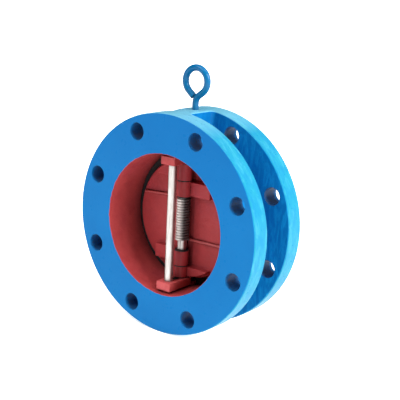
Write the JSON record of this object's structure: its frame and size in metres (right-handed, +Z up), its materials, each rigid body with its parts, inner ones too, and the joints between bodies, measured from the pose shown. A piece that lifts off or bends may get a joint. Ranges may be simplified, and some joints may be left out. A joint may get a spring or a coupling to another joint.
{
  "type": "dual plate check valve",
  "caption": "Double-flanged dual-plate check valve: two spring-loaded half-disc plates hinge on one vertical pin in a short body.",
  "frame": {"origin": "centre of the inlet flange's face, on the bore's axis", "axes": "+Y out of the inlet face along the bore, so flow runs towards -Y; +Z up, along the hinge pin towards the lifting eye; +X to the right seen from the outlet"},
  "size_m": [0.2794, 0.098, 0.3356],
  "materials": {
    "body_paint": "gloss blue epoxy over a cast iron body, red in the bore",
    "plate_paint": "satin brick-red epoxy over castings",
    "stainless_pin": "ground bright stainless bar",
    "spring_steel": "drawn stainless spring wire",
    "stainless_screw": "plain stainless fastener",
    "seal_rubber": "moulded black elastomer",
    "bearing_polymer": "carbon-filled dark PTFE",
    "bush_polymer": "filled PTFE"
  },
  "bodies": {
    "valve_body": {"body": "body_paint", "eyebolt": "body_paint", "upper_pin_retainer": "plate_paint", "lower_pin_retainer": "plate_paint", "hinge_pin": "stainless_pin", "stop_pin": "stainless_pin", "torsion_spring": "spring_steel", "upper_retainer_screw": "stainless_screw", "lower_retainer_screw": "stainless_screw", "seat_seal": "seal_rubber", "upper_body_bearing": "bearing_polymer", "lower_body_bearing": "bearing_polymer", "upper_plate_bearing": "bearing_polymer", "lower_plate_bearing": "bearing_polymer", "upper_spring_bearing": "bearing_polymer", "lower_spring_bearing": "bearing_polymer"},
    "left_door": {"left_plate": "plate_paint", "left_plate_upper_bush": "bush_polymer", "left_plate_lower_bush": "bush_polymer"},
    "right_door": {"right_plate": "plate_paint", "right_plate_upper_bush": "bush_polymer", "right_plate_lower_bush": "bush_polymer"}
  },
  "joints": [
    {"name": "left_plate_hinge", "type": "hinge", "parent": "valve_body", "child": "left_door", "pos_m": [0, -0.057, 0], "axis": [0, 0, 1], "range_deg": [0, 79], "stiffness_Nm_per_rad": 0.35, "springref_deg": -57.3, "deforming": ["torsion_spring"]},
    {"name": "right_plate_hinge", "type": "hinge", "parent": "valve_body", "child": "right_door", "pos_m": [0, -0.057, 0], "axis": [0, 0, -1], "range_deg": [0, 79], "stiffness_Nm_per_rad": 0.35, "springref_deg": -57.3, "deforming": ["torsion_spring"]}
  ]
}
